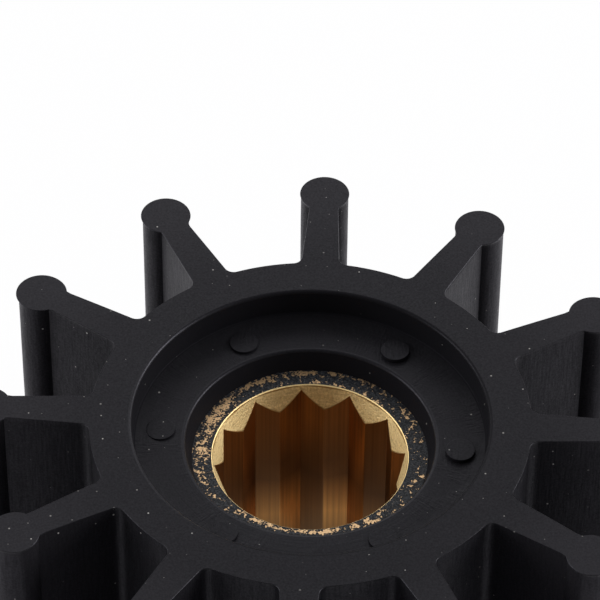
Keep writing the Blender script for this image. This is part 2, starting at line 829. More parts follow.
@dataclass
class RubberBody:
    """The moulded body: hub, twelve beaded vanes, and a turned recess in each end."""

    outer_diameter: float = 95.0
    width: float = 63.5
    vane_count: int = 12
    hub_diameter: float = 59.5
    bulb_diameter: float = 6.7
    root_thickness: float = 5.3
    tip_thickness: float = 3.75
    root_fillet: float = 1.5
    recess_diameter: float = 49.3
    rim_radius: float = 0.45
    recess_wall_depth: float = 3.95
    recess_wall_draft: float = 0.15
    recess_floor_fillet: float = 0.25
    lip_diameter: float = 34.2
    lip_depth: float = 4.4
    lip_radius: float = 0.45
    seat_diameter: float = 32.2
    insert_diameter: float = 34.0
    insert_depth: float = 7.4

    pad_diameter: float = 4.0
    pad_circle_diameter: float = 40.9
    pad_edge: float = 0.05  # mm, rounding of a pad's top
    pad_foot: float = 0.02  # mm that a pad's foot stands out of its wall
    pad_margin: float = 0.35  # mm of floor round a pad that its rings take up at least
    pad_evenness: float = 0.65  # how evenly its rings' points are spread; 0 keeps the floor's
    # degrees past the vane behind the pad, height over the floor, and how the top rises along +X
    pad_places: tuple[tuple[float, float, float], ...] = (
        (-3.1, 0.6, 0.0),
        (-2.6, 0.62, 0.02),
        (-0.6, 0.36, 0.01),
        (-2.6, 0.2, 0.06),
        (-1.8, 0.2, 0.05),
        (1.1, 0.36, 0.0),
    )

    # gloss of the recess rim by angle, strongest where the knife has burnished it
    rim_gloss: tuple[tuple[float, float], ...] = (
        (0, 0.25),
        (45, 0.45),
        (80, 0.35),
        (115, 0.7),
        (140, 1.15),
        (190, 1.15),
        (220, 0.7),
        (250, 0.2),
        (360, 0.25),
    )
    floor_gloss: float = 0.75  # gloss of the recess floor at the foot of the wall
    floor_gloss_run: float = 1.0  # mm inside the start of the climb, where it starts to drop

    vane_forms: tuple[VaneForm, ...] = (
        VaneForm(growth=-0.12),
        VaneForm(lean=-0.33),
        VaneForm(lean=-0.14, growth=0.1, thin=0.0),
        VaneForm(growth=-0.12, thin=0.0),
        VaneForm(lean=0.19, growth=0.25, thin=0.13),
        VaneForm(lean=0.29, growth=0.2, thin=0.24),
        VaneForm(growth=-0.12),
        VaneForm(lean=0.58, growth=0.05),
        VaneForm(),
        VaneForm(growth=-0.12),
        VaneForm(),
        VaneForm(lean=-0.53),
    )
    lean_power: float = 1.5  # how late along a vane its lean sets in
    flashes: tuple[Flash, ...] = (
        Flash(4, Side.LEFT, 1.0, 1.9, 0.42),
        Flash(4, Side.LEFT, 4.6, 1.4, 0.4),
        Flash(4, Side.LEFT, 7.4, 0.8, 0.14),
        Flash(5, Side.LEFT, 0.0, 1.9, 0.85),
        Flash(5, Side.LEFT, 3.6, 2.2, 0.22),
        Flash(2, Side.RIGHT, 0.3, 0.9, 0.35),
        Flash(1, Side.RIGHT, 0.0, 1.0, 0.15),
        Flash(11, Side.RIGHT, -2.5, 1.2, 0.2),
        Flash(0, Side.RIGHT, 0.0, 1.2, 0.2),
    )
    flash_seed: int = 31
    flash_ragged: float = 0.25  # how much a flash's overhang wavers
    flash_waves: tuple[float, ...] = (2.9, 1.7, 1.1)  # mm
    flash_fade: float = 0.8  # mm from the middle of a gap, over which a flash dies out

    bead_flare: float = 0.12  # how far the trimmed edge stands out of the drawing, mm
    hub_flare: float = 0.15
    web_flare: float = -0.05
    bead_flare_run: float = 0.7  # mm of web over which the edge swells to the bead's flare
    hub_inset: float = 0.1  # how far the hub's wall lies inside the drawing, mm
    edge_break: float = 0.05  # small break along the trimmed edge, mm
    edge_depth: float = 0.4  # mm of wall over which the edge draws in
    edge_rows: tuple[float, ...] = (0.1, 0.17, 0.25, 0.34, 0.7, 1.6)  # mm below an end face
    waver: float = 0.012  # mm, height of the wall's ripple
    waver_seed: int = 9
    waver_waves: tuple[float, ...] = (21.0, 13.0, 5.3)  # mm
    waver_slant: float = 3.0  # mm that the ripple moves along for each mm of depth
    waver_fade: float = 10.0  # mm from the place where the outline closes

    hub_spans: int = 5  # spans on the hub arc from the middle of a gap to a root fillet
    fillet_spans: int = 6
    web_spans: int = 26
    bead_spans: int = 24
    wall_spans: int = 17  # spans of the wall between the rows near its edges
    vane_columns: int = 10  # spans across a vane on the end faces
    ring_spans: int = 3  # spans from the recess to the hub's edge
    round_spans: int = 6  # spans on each rounding of the recess
    bowl_spans: int = 6
    bowl_share: float = 0.92  # share of the bowl's arc that lies inside the wall's fillet
    flat_spans: int = 5
    sharp_degrees: float = 32.0  # edges that turn by more stay sharp

    def bead_centre(self) -> float:
        """Distance of a bead's centre from the shaft axis."""
        return self.outer_diameter / 2 - self.bulb_diameter / 2

    def wall_foot(self) -> float:
        """Radius of the recess wall where it meets the floor."""
        return self.recess_diameter / 2 - self.rim_radius - self.recess_wall_draft

    def dish_radius(self) -> float:
        """Radius at which the floor starts to climb towards the wall."""
        return (self.lip_diameter / 2 + self.wall_foot()) / 2

    def side_outline(self) -> tuple[np.ndarray, np.ndarray]:
        """One side of a vane along +X, from the middle of the gap on its left to its tip.

        The chain is an arc of the hub, a fillet arc that touches hub and web, the straight web,
        and the bead's arc. The fillet's centre lies one fillet radius off both the hub circle
        and the web's line.

        Returns:
            Points of shape (points, 2) and outward unit normals of the same shape.
        """
        hub = self.hub_diameter / 2
        bead = self.bulb_diameter / 2
        bead_centre = self.bead_centre()
        half_root, half_tip = self.root_thickness / 2, self.tip_thickness / 2
        slope = (half_root - half_tip) / (bead_centre - hub)
        rise = half_tip + slope * bead_centre
        normal = np.array([slope, 1.0]) / math.hypot(slope, 1.0)
        tangent = np.array([normal[1], -normal[0]])
        off_line = self.root_fillet + rise * normal[1]
        along = math.sqrt((hub + self.root_fillet) ** 2 - off_line**2)
        centre = off_line * normal + along * tangent
        touch_angle = math.atan2(centre[1], centre[0])
        gap_angle = math.pi / self.vane_count

        arc = np.linspace(gap_angle, touch_angle, self.hub_spans + 1)[:-1]
        hub_normals = directions(arc)
        hub_points = hub * hub_normals

        start = math.atan2(-centre[1], -centre[0])
        stop = math.atan2(-normal[1], -normal[0])
        spokes = directions(np.linspace(start, stop, self.fillet_spans + 1)[:-1])
        fillet_points = centre + self.root_fillet * spokes

        foot = centre - self.root_fillet * normal
        # crossing of the web's line and the bead's circle, on the hub's side of the bead
        a = 1 + slope**2
        b = -2 * (bead_centre + rise * slope)
        c = bead_centre**2 + rise**2 - bead**2
        cross_x = (-b - math.sqrt(b**2 - 4 * a * c)) / (2 * a)
        corner = np.array([cross_x, rise - slope * cross_x])
        share = np.linspace(0, 1, self.web_spans + 1)[:-1, None]
        web_points = foot + share * (corner - foot)
        web_normals = np.broadcast_to(normal, web_points.shape)

        open_angle = math.atan2(corner[1], corner[0] - bead_centre)
        bead_normals = directions(np.linspace(open_angle, 0, self.bead_spans + 1))
        bead_points = np.array([bead_centre, 0.0]) + bead * bead_normals

        points = np.concatenate([hub_points, fillet_points, web_points, bead_points])
        normals = np.concatenate([hub_normals, -spokes, web_normals, bead_normals])
        return points, normals

    def outline(self) -> tuple[np.ndarray, np.ndarray]:
        """The whole plan outline, counter-clockwise, starting in the gap before the vane on +X.

        Each vane is the drawn one, moved sideways by its lean and outwards by its growth, both
        times a power of its reach, which is 0 on the hub and 1 at the bead's centre.

        Returns:
            Points and outward normals of shape (vanes, points on a vane, 2).
        """
        left, left_normals = self.side_outline()
        flip = np.array([1.0, -1.0])
        one = np.concatenate([left * flip, left[-2::-1]])
        one_normals = np.concatenate([left_normals * flip, left_normals[-2::-1]])
        hub = self.hub_diameter / 2
        reach = np.clip((one[:, 0] - hub) / (self.bead_centre() - hub), 0, 1) ** self.lean_power
        points, normals = [], []
        for vane, form in enumerate(self.vane_forms):
            moved = one + reach[:, None] * np.array([form.growth, form.lean])
            angle = 2 * math.pi * vane / self.vane_count
            turn = np.array([[math.cos(angle), math.sin(angle)], [-math.sin(angle), math.cos(angle)]])
            points.append(moved @ turn)
            normals.append(one_normals @ turn)
        return np.array(points), np.array(normals)

    def stand_out(self) -> tuple[np.ndarray, np.ndarray]:
        """How far the trimmed edge and the wall below it stand out of the drawn outline.

        The edge runs between the flares of hub, web and bead, and each flash adds its overhang
        times exp(-t * t), where t is the distance from its place over its spread, fading out at
        the middle of each gap. The wall lies inside the outline by the hub's inset and each
        vane's thinning.

        Returns:
            Two arrays of shape (vanes, points on a vane), in millimetres.
        """
        left, _ = self.side_outline()
        along = run_length(left)
        along = np.concatenate([along, along[-2::-1]])
        touch, foot = self.hub_spans, self.hub_spans + self.fillet_spans
        corner = foot + self.web_spans
        root = along[self.hub_spans + self.fillet_spans // 2]
        flare = np.interp(
            along,
            [along[touch], along[foot], along[corner] - self.bead_flare_run, along[corner]],
            [self.hub_flare, self.web_flare, self.web_flare, self.bead_flare],
        )
        side = np.where(np.arange(len(along)) < len(left), Side.RIGHT, Side.LEFT)
        edge = np.repeat(flare[None], self.vane_count, axis=0)
        fade = np.clip(np.minimum(along, along[-1] - along) / self.flash_fade, 0, 1)
        for flash in self.flashes:
            bump = fade * np.exp(-(((along - root - flash.place) / flash.spread) ** 2))
            ragged = 1 + self.flash_ragged * ripple(self.flash_seed + flash.vane, along, self.flash_waves)
            edge[flash.vane] += np.where(side == flash.side, flash.overhang * bump * ragged, 0.0)
        thin = np.array([form.thin for form in self.vane_forms])[:, None]
        share = np.interp(along, [along[touch], along[foot]], [0.0, 1.0])[None]
        return edge, -(self.hub_inset * (1 - share) + thin * share)

    def edge_points(self) -> np.ndarray:
        """The trimmed edge's own outline, of shape (vanes, points on a vane, 2), in the box."""
        points, normals = self.outline()
        edge, _ = self.stand_out()
        limit = self.outer_diameter / 2
        return np.clip(points + normals * edge[..., None], -limit, limit)

    def wall(self, shell: Shell) -> None:
        """The outside wall: the outline carried along the shaft.

        Below a small break at each trimmed edge the wall draws in to its own outline by a smooth
        step of the depth. It has a ripple of about a hundredth of a millimetre, which fades out
        towards the place where the outline closes.

        Args:
            shell: The shell that gets the wall.
        """
        points, normals = self.outline()
        _, inset = self.stand_out()
        trimmed = self.edge_points().reshape(-1, 2)
        drawn = (points + normals * inset[..., None]).reshape(-1, 2)
        out = normals.reshape(-1, 2)
        trimmed, drawn, out = (np.concatenate([loop, loop[:1]]) for loop in (trimmed, drawn, out))
        along = run_length(drawn)
        rows = np.array([0.0, self.edge_break, *self.edge_rows])
        middle = np.linspace(rows[-1], self.width - rows[-1], self.wall_spans + 1)[1:-1]
        depth = np.concatenate([rows, middle, self.width - rows[::-1]])
        near_edge = np.minimum(depth, self.width - depth)
        step = np.clip(near_edge / self.edge_depth, 0, 1)
        step = (step * step * (3 - 2 * step))[:, None, None]
        fade = np.clip(np.minimum(along, along[-1] - along) / self.waver_fade, 0, 1)
        slanted = along + self.waver_slant * depth[:, None]
        waver = self.waver * fade * ripple(self.waver_seed, slanted, self.waver_waves)
        lift = np.minimum(near_edge, self.edge_break)[:, None, None]
        flat = trimmed + lift * out + step * (drawn - trimmed + waver[..., None] * out)
        limit = self.outer_diameter / 2
        height = np.broadcast_to(self.width - depth[:, None], flat.shape[:2])
        grid = lifted(np.clip(flat, -limit, limit), height)
        uv = paired(along, height)
        for band, finish in (
            (slice(0, 2), RubberFinish.RIM),
            (slice(1, -1), RubberFinish.WALL),
            (slice(-2, None), RubberFinish.RIM),
        ):
            shell.add_grid(grid[band], uv[band], finish, flip=True)

    def ring_angles(self) -> np.ndarray:
        """Polar angles of the hub ring's columns, which match the vanes' own columns."""
        left, _ = self.side_outline()
        hub_side = left[: self.hub_spans + 1]
        half = np.arctan2(hub_side[:, 1], hub_side[:, 0])
        base = np.linspace(-half[-1], half[-1], self.vane_columns + 1)
        sector = np.concatenate([-half[:-1], base, half[-2:0:-1]])
        turns = 2 * np.pi * np.arange(self.vane_count)[:, None] / self.vane_count
        angles = (turns + sector[None, :]).reshape(-1)
        return np.concatenate([angles, angles[:1] + 2 * np.pi])

    def end_face(self, shell: Shell, end: End) -> None:
        """The flat end: a ring round the recess, and one patch along each vane.

        A vane's patch runs from hub to tip in rows, each a straight line between the two sides
        of the vane. Its first row lies on the hub circle.

        Args:
            shell: The shell that gets the face.
            end: Which end it is.
        """
        upper = end is End.UPPER
        height = self.width if upper else 0.0
        angles = self.ring_angles()
        points = self.edge_points()
        outer = self.hub_edge(points)
        share = np.linspace(0, 1, self.ring_spans + 1)[:, None]
        radii = self.recess_diameter / 2 * (1 - share) + outer[None, :] * share
        flat = radii[..., None] * directions(angles)
        shell.add_grid(lifted(flat, height), flat, RubberFinish.FACE, flip=upper)
        half = (points.shape[1] + 1) // 2
        across = np.linspace(0, 1, self.vane_columns + 1)[None, :, None]
        for vane in range(self.vane_count):
            right = points[vane, self.hub_spans : half][:, None]
            left = points[vane, ::-1][self.hub_spans : half][:, None]
            grid = right + (left - right) * across
            start = vane * (2 * self.hub_spans + self.vane_columns) + self.hub_spans
            base = slice(start, start + self.vane_columns + 1)
            swell = outer[base, None] * directions(angles[base]) - grid[0]
            reach = np.linalg.norm(grid.mean(1) - grid[0].mean(0), axis=1)
            fade = np.clip(1 - reach / reach[self.fillet_spans], 0, 1)
            grid = grid + fade[:, None, None] * swell[None]
            shell.add_grid(lifted(grid, height), grid, RubberFinish.FACE, flip=upper)

    def hub_edge(self, points: np.ndarray) -> np.ndarray:
        """Radius of the trimmed hub edge at each column of the hub ring.

        On the hub's arcs it is the edge's own radius. Across a vane's base it runs evenly from
        the radius at one side to the radius at the other.

        Args:
            points: The trimmed edge's outline, of shape (vanes, points on a vane, 2).

        Returns:
            Array of shape (columns,).
        """
        radius, _ = polar(points)
        before, after = radius[:, : self.hub_spans + 1], radius[:, -self.hub_spans - 1 :]
        share = np.linspace(0, 1, self.vane_columns + 1)[None, 1:-1]
        base = before[:, -1:] * (1 - share) + after[:, :1] * share
        sector = np.concatenate([before, base, after[:, :-1]], axis=1)
        loop = sector.reshape(-1)
        return np.concatenate([loop, loop[:1]])

    def recess_profile(self) -> dict[Run, tuple[RubberFinish, np.ndarray]]:
        """Half section of an end recess, as runs of (radius, depth) from the rim inwards.

        The floor's outer half is an arc that starts level and climbs to the foot of the wall.

        Returns:
            The finish and the points, of shape (points, 2), of each run.
        """
        top = self.recess_diameter / 2
        wall, foot = top - self.rim_radius, self.wall_foot()
        lip, dish = self.lip_diameter / 2, self.dish_radius()
        radius = arc_radius(foot - dish, self.lip_depth - self.recess_wall_depth)
        full = math.asin((foot - dish) / radius)
        swing = np.linspace(self.bowl_share * full, 0, self.bowl_spans + 1)
        bowl = [
            (dish + radius * math.sin(t), self.lip_depth - radius * (1 - math.cos(t)))
            for t in swing
        ]
        wall_run = rounded_chain(
            [
                (top, 0.0, 0.0),
                (wall, 0.0, self.rim_radius),
                (foot, self.recess_wall_depth, self.recess_floor_fillet),
                (*bowl[0], 0.0),
            ],
            self.round_spans,
        )
        flat = lip + self.lip_radius
        level = [(across, self.lip_depth) for across in np.linspace(dish, flat, self.flat_spans + 1)[1:]]
        throat_run = rounded_chain(
            [
                (flat, self.lip_depth, 0.0),
                (lip, self.lip_depth, self.lip_radius),
                (self.seat_diameter / 2, self.insert_depth, 0.0),
                (self.insert_diameter / 2, self.insert_depth, 0.0),
            ],
            self.round_spans,
        )
        arc = self.round_spans + 2  # points up to the end of each run's first rounding
        return {
            Run.RIM: (RubberFinish.RIM, wall_run[:arc]),
            Run.WALL: (RubberFinish.MATT, wall_run[arc - 1 :]),
            Run.FLOOR: (RubberFinish.FLOOR, np.array(bowl + level)),
            Run.LIP: (RubberFinish.RIM, throat_run[:arc]),
            Run.THROAT: (RubberFinish.MATT, throat_run[arc - 1 :]),
        }

    def recess(self, shell: Shell, end: End) -> None:
        """One end recess: its wall, its dished floor and the throat down to the insert.

        Args:
            shell: The shell that gets the recess.
            end: Which end it is in. Only the upper one has pads.
        """
        angles = self.ring_angles()
        upper = end is End.UPPER
        for run, (finish, profile) in self.recess_profile().items():
            height = self.width - profile[:, 1] if upper else profile[:, 1]
            grid, uv = lathe(paired(profile[:, 0], height), angles)
            keep = None
            if upper and run is Run.FLOOR:
                keep = np.ones((grid.shape[0] - 1, grid.shape[1] - 1), bool)
                for index in range(len(self.pad_places)):
                    self.pad(shell, grid, angles, keep, index)
            gloss = self.recess_gloss(run, grid)
            shell.add_grid(grid, uv, finish, flip=not upper, keep=keep, marks=gloss)

    def recess_gloss(self, run: Run, points: np.ndarray) -> np.ndarray:
        """Marks with the gloss of a recess run: by angle on the rim, by radius on the floor.

        Args:
            run: The run that the points are on.
            points: Array of shape (rows, columns, 3).

        Returns:
            Array of shape (rows, columns, 2).
        """
        radius, angle = polar(points)
        gloss = np.ones_like(radius)
        if run is Run.RIM:
            places, levels = np.array(self.rim_gloss).T
            gloss = np.interp(angle % 360, places, levels)
        if run is Run.FLOOR:
            reach = [self.dish_radius() - self.floor_gloss_run, self.wall_foot()]
            gloss = np.interp(radius, reach, [1.0, self.floor_gloss])
        return paired(gloss)

    def pad(
        self, shell: Shell, floor: np.ndarray, angles: np.ndarray, keep: np.ndarray, index: int
    ) -> None:
        """Set a raised round pad into the floor's grid.

        The floor's quads round the pad are left out, and rings of quads run from that hole's
        edge to the pad's circle, up its wall and in to its centre.

        Args:
            shell: The shell that gets the pad.
            floor: The floor's points, of shape (rows, columns, 3).
            angles: The columns' angles.
            keep: Mask of the floor's quads, changed in place.
            index: The pad's number.
        """
        turn, rise, tilt = self.pad_places[index]
        middle = 2 * math.pi * index / len(self.pad_places) + math.radians(turn)
        radius = self.pad_circle_diameter / 2
        half = self.pad_diameter / 2
        edge = self.cut_hole(floor, angles, keep, middle, half + self.pad_margin)
        centre = np.array([radius * math.cos(middle), radius * math.sin(middle)])
        heading = np.unwrap(np.arctan2(edge[:, 1] - centre[1], edge[:, 0] - centre[0]))
        even = np.linspace(heading[0], heading[0] + 2 * math.pi, len(heading))
        heading = (1 - self.pad_evenness) * heading + self.pad_evenness * even
        spoke = directions(heading)
        base = self.width - self.lip_depth
        foot = lifted(centre + (half + self.pad_foot) * spoke, base)
        climbing = polar(foot)[0] > self.dish_radius()
        foot[:, 2] = np.where(climbing, self.bowl_height(foot), base)
        rings = [edge, 0.5 * (edge + foot), foot]
        foot_row, edge_row = 2, 4  # rings at the foot of the wall and half way round the top's edge
        rim = self.pad_edge
        cut = 0.3 * rim  # half way round, a quarter circle lies 0.3 of its radius off each side
        insets = ((0.0, rim), (cut, cut), (rim, 0.0), (2 * rim, 0.0), (half / 2, 0.0), (half, 0.0))
        for inset, drop in insets:
            flat = centre + (half - inset) * spoke
            level = base + rise - drop + tilt * (flat[:, 0] - centre[0])
            if inset == 0:
                level = np.maximum(foot[:, 2], level)
            rings.append(lifted(flat, level))
        grid = np.array(rings)
        gloss = paired(np.ones(grid.shape[:2]))
        gloss[: foot_row + 1] = self.recess_gloss(Run.FLOOR, grid[: foot_row + 1])
        for part, finish in (
            (slice(0, foot_row + 1), RubberFinish.FLOOR),
            (slice(foot_row, edge_row + 1), RubberFinish.MATT),
            (slice(edge_row, None), RubberFinish.FLOOR),
        ):
            shell.add_grid(grid[part], grid[part, :, :2], finish, marks=gloss[part])

    def cut_hole(
        self, floor: np.ndarray, angles: np.ndarray, keep: np.ndarray, middle: float, reach: float
    ) -> np.ndarray:
        """Leave out the floor's quads that come near a pad.

        Args:
            floor: The floor's points, of shape (rows, columns, 3).
            angles: The columns' angles.
            keep: Mask of the floor's quads, changed in place.
            middle: The pad's angle in radians.
            reach: Distance from the pad's centre that the hole must clear.

        Returns:
            The hole's edge as a closed loop, of shape (points, 3).
        """
        radius = self.pad_circle_diameter / 2
        rows, _ = polar(floor[:, 0])
        low = int(np.argmax(rows < radius + reach)) - 1
        high = len(rows) - int(np.argmax(rows[::-1] > radius - reach))
        sway = math.asin(reach / radius)
        first = angles[0]
        sides = [(middle + turn - first) % (2 * math.pi) + first for turn in (-sway, sway)]
        start, stop = (int(place) for place in np.searchsorted(angles, sides))
        start -= 1
        columns = len(angles) - 1
        if stop <= start:
            stop += columns
        span = np.arange(start, stop + 1) % columns
        keep[low:high, span[:-1]] = False
        return np.concatenate(
            [
                floor[low, span[:-1]],
                floor[low:high, span[-1]],
                floor[high, span[:0:-1]],
                floor[high:low:-1, span[0]],
                floor[low, span[:1]],
            ]
        )

    def bowl_height(self, points: np.ndarray) -> np.ndarray:
        """Height of the upper floor's climbing arc under some points.

        It is the flat floor's height plus R - sqrt(R * R - d * d), where R is the arc's radius
        and d the distance past the start of the arc.

        Args:
            points: Array of shape (points, 3) or (points, 2).

        Returns:
            Heights of shape (points,).
        """
        run = self.wall_foot() - self.dish_radius()
        radius = arc_radius(run, self.lip_depth - self.recess_wall_depth)
        past = np.clip(polar(points)[0] - self.dish_radius(), 0, run)
        return self.width - self.lip_depth + radius - np.sqrt(radius**2 - past**2)

    def bore(self, shell: Shell) -> None:
        """The wall that is bonded to the insert; the insert hides it.

        Args:
            shell: The shell that gets the wall.
        """
        radius = self.insert_diameter / 2
        heights = (self.width - self.insert_depth, self.width / 2, self.insert_depth)
        grid, uv = lathe(np.array([(radius, height) for height in heights]), self.ring_angles())
        shell.add_grid(grid, uv, RubberFinish.WALL)

    def build(self) -> bpy.types.Object:
        """Build and dress the body.

        Returns:
            The finished object.
        """
        finishes = {
            RubberFinish.WALL: MouldedNitrile(
                "moulded_rubber_wall",
                streak=0.03,
                dusty=0.2,
                roughness=0.39,
                mottle=0.5,
                lined=0.42,
                body_hex="#1a1a1d",
                specular_level=0.094,
            ),
            RubberFinish.FACE: MouldedNitrile("trimmed_rubber_face", grain=0.01, dusty=0.4, mottle=0.4),
            RubberFinish.FLOOR: MouldedNitrile(
                "turned_print_rubber_floor",
                rings=0.02,
                chatter=0.07,
                dusty=0.3,
                roughness=0.45,
                specular_level=0.14,
            ),
            RubberFinish.MATT: MouldedNitrile(
                "matt_rubber_recess_wall",
                dusty=0.2,
                roughness=0.5,
                specular_level=0.02,
                body_hex="#151518",
            ),
            RubberFinish.RIM: MouldedNitrile(
                "burnished_rubber_rim", grain=0.006, roughness=0.36, specular_level=0.18
            ),
        }
        shell = Shell()
        self.wall(shell)
        for end in End:
            self.end_face(shell, end)
            self.recess(shell, end)
        self.bore(shell)
        piece = shell.build("rubber_skin", self.sharp_degrees)
        for number in RubberFinish:
            piece.data.materials.append(finishes[number].make())
        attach(piece, Body.ROOT.value)
        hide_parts("rubber_body")
        return piece


# ---------------------------------------------------------------- brass insert


@dataclass
class SplineInsert:
    """The brass sleeve with its lead-in cones and broached spline."""

    width: float = 63.5
    depth: float = 7.4
    diameter: float = 34.0
    tooth_count: int = 12
    root_diameter: float = 26.2
    tip_diameter: float = 23.95
    turn: float = 7.9
    mouth_diameter: float = 26.7
    mouth_gap: float = 0.01  # mm between the mouth's circle and a groove root, at least
    lead_in_depth: float = 3.5
    rim_break: float = 0.13
    rim_tone: float = 1.6  # tone of that break, where the tool burnished it
    softness: float = 0.012  # mm over which a tooth's tip is worn round
    flat_spans: int = 12
    flat_evenness: float = 0.5  # how evenly a flat's columns are spread; 0 packs its ends closest
    bore_spans: int = 12
    face_spans: int = 13
    sharp_degrees: float = 20.0  # edges that turn by more stay sharp
    # tone of each flat half way down the bore, from the first flat after the first groove root
    flat_tones: tuple[float, ...] = (0.5, 0.6, 0.3, 0.68, 0.9, 0.2, 1.15, 0.6, 1.3, 0.95, 0.5, 0.8)
    # how much each flat's ends were dulled less than the plain end tone
    flat_gains: tuple[float, ...] = (1.0, 1.0, 0.9, 2.4, 1.1, 1.6, 1.35, 1.0, 4.0, 1.4, 1.0, 1.0)
    # rows of a cone, as a share of its depth and their tone: a dark line round the mouth, and a
    # dark burr along the broached edge
    cone_rows: tuple[tuple[float, float], ...] = (
        (0.0, -0.3),
        (0.05, 0.0),
        (0.1, 1.0),
        (0.25, 1.0),
        (0.5, 1.0),
        (0.75, 1.0),
        (0.92, 1.0),
        (0.96, 0.2),
        (1.0, 0.0),
    )
    # tone of the cones by angle, brightest where the tool ran true
    cone_tones: tuple[tuple[float, float], ...] = (
        (0, 1.0),
        (55, 1.0),
        (80, 0.6),
        (118, 0.64),
        (140, 1.15),
        (360, 1.0),
    )
    # tone of all flats by distance from the nearer end face, mm; the last place is half way down
    end_tones: tuple[tuple[float, float], ...] = (
        (0.0, 0.43),
        (6.0, 0.39),
        (11.0, 0.21),
        (16.0, 0.035),
        (24.8, 0.0),
    )
    # where the film is torn away: angle, radius, half width along and across the ring, bareness
    bare_patches: tuple[tuple[float, float, float, float, float], ...] = (
        (155.0, 14.8, 13.0, 1.1, 1.0),
        (144.0, 15.3, 7.0, 0.7, 0.8),
        (180.0, 15.0, 10.0, 1.1, 0.8),
        (196.0, 15.1, 6.0, 0.8, 0.7),
        (127.0, 15.5, 9.0, 0.7, 0.75),
        (115.0, 15.3, 6.0, 0.7, 0.9),
        (95.0, 15.6, 12.0, 0.7, 0.9),
        (80.0, 15.9, 6.0, 0.5, 0.7),
        (60.0, 16.0, 10.0, 0.6, 0.65),
        (75.0, 13.8, 26.0, 0.3, 0.75),
        (29.0, 15.5, 12.0, 0.8, 0.55),
        (5.0, 15.3, 14.0, 0.8, 0.1),
        (-16.0, 15.3, 8.0, 0.7, 0.4),
        (-36.0, 15.3, 8.0, 0.6, 0.55),
        (-53.0, 14.5, 12.0, 0.6, 0.85),
        (-75.0, 14.0, 10.0, 0.35, 0.8),
        (-91.0, 13.9, 13.0, 0.35, 1.0),
        (-113.0, 13.9, 10.0, 0.35, 1.0),
        (-130.0, 14.2, 7.0, 0.4, 0.8),
        (-150.0, 15.0, 8.0, 0.5, 0.5),
    )

    def columns(self) -> np.ndarray:
        """Polar angles of the bore's columns, packed closer towards each corner."""
        even = np.linspace(0, 1, self.flat_spans + 1)[:-1]
        eased = 0.5 - 0.5 * np.cos(np.pi * even)
        share = self.flat_evenness * even + (1 - self.flat_evenness) * eased
        corners = 2 * self.tooth_count
        angles = (np.arange(corners)[:, None] + share[None, :]).reshape(-1) * 2 * np.pi / corners
        angles = angles + math.radians(self.turn)
        return np.concatenate([angles, angles[:1] + 2 * np.pi])

    def spline_radius(self, angles: np.ndarray) -> np.ndarray:
        """Radius of the broached outline at some polar angles.

        Each flat is a straight line between a groove root and a tooth tip. A line at distance d
        from the axis whose normal points to angle m has the radius d / cos(angle - m). Both
        flats that meet at a tip are blended by a soft maximum, and roots stay sharp.

        Args:
            angles: Polar angles in radians.

        Returns:
            Radii of the same shape.
        """
        step = np.pi / self.tooth_count
        root, tip = self.root_diameter / 2, self.tip_diameter / 2
        local = (angles - math.radians(self.turn)) % (2 * step)
        folded = np.abs(local - step)  # 0 at a tip, step at a root
        tip_point = np.array([tip, 0.0])
        root_point = root * np.array([math.cos(step), math.sin(step)])
        run = root_point - tip_point
        normal = np.array([run[1], -run[0]]) / np.linalg.norm(run)
        distance = float(normal @ tip_point)
        lean = math.atan2(normal[1], normal[0])
        near = distance / np.cos(folded - lean)
        far = distance / np.cos(folded + lean)
        soft = self.softness
        return soft * np.logaddexp(near / soft, np.minimum(far, near) / soft)

    def bore(self, shell: Shell) -> None:
        """The bore: a cone from each mouth, then the spline between the two cones.

        Rows of the cone end where, at that angle, the cone's radius has come down to the
        spline's radius, so the edges between them are crisp.

        Args:
            shell: The shell that gets the bore.
        """
        angles = self.columns()
        mouth = self.mouth_diameter / 2
        spline = np.minimum(self.spline_radius(angles), mouth - self.mouth_gap)
        slope = (mouth - self.tip_diameter / 2) / (self.lead_in_depth - self.rim_break)
        cone_depth = (mouth - spline) / slope
        face = self.width - self.depth
        around = mouth * angles
        share, tone = (column[:, None] for column in np.array(self.cone_rows).T)
        places, tones = np.array(self.cone_tones).T
        marks = paired(tone * np.interp(np.degrees(angles) % 360, places, tones)[None, :])
        radius = mouth + (spline - mouth)[None, :] * share
        for end in End:
            upper = end is End.UPPER
            depth = self.rim_break + cone_depth[None, :] * share
            height = face - depth if upper else self.depth + depth
            grid = lifted(radius[..., None] * directions(angles), height)
            uv = paired(around, depth)
            shell.add_grid(grid, uv, BrassFinish.TURNED, flip=not upper, marks=marks)
        high = face - self.rim_break - cone_depth
        low = self.depth + self.rim_break + cone_depth
        rows = np.linspace(0, 1, self.bore_spans + 1)[:, None]
        height = high[None, :] + (low - high)[None, :] * rows
        radius = np.broadcast_to(spline, height.shape)
        grid = lifted(radius[..., None] * directions(angles), height)
        uv = paired(around, height)
        for flat in range(2 * self.tooth_count):
            part = slice(flat * self.flat_spans, (flat + 1) * self.flat_spans + 1)
            marks = paired(self.bore_tone(flat, height[:, part]))
            shell.add_grid(grid[:, part], uv[:, part], BrassFinish.BROACHED, marks=marks)

    def bore_tone(self, flat: int, height: np.ndarray) -> np.ndarray:
        """Tone down the bore: dull near both mouths, dullest below them, brightest half way.

        Args:
            flat: The flat's number, counted from the first groove root.
            height: Heights in millimetres.

        Returns:
            Tone of the same shape.
        """
        depth = self.width / 2 - self.depth - np.abs(height - self.width / 2)
        places, tones = np.array(self.end_tones).T
        middle = self.flat_tones[flat % len(self.flat_tones)]
        share = np.clip((depth - places[-2]) / (places[-1] - places[-2]), 0, 1)
        ends = np.interp(depth, places[:-1], tones[:-1]) * self.flat_gains[flat % len(self.flat_gains)]
        return ends * (1 - share) + middle * share

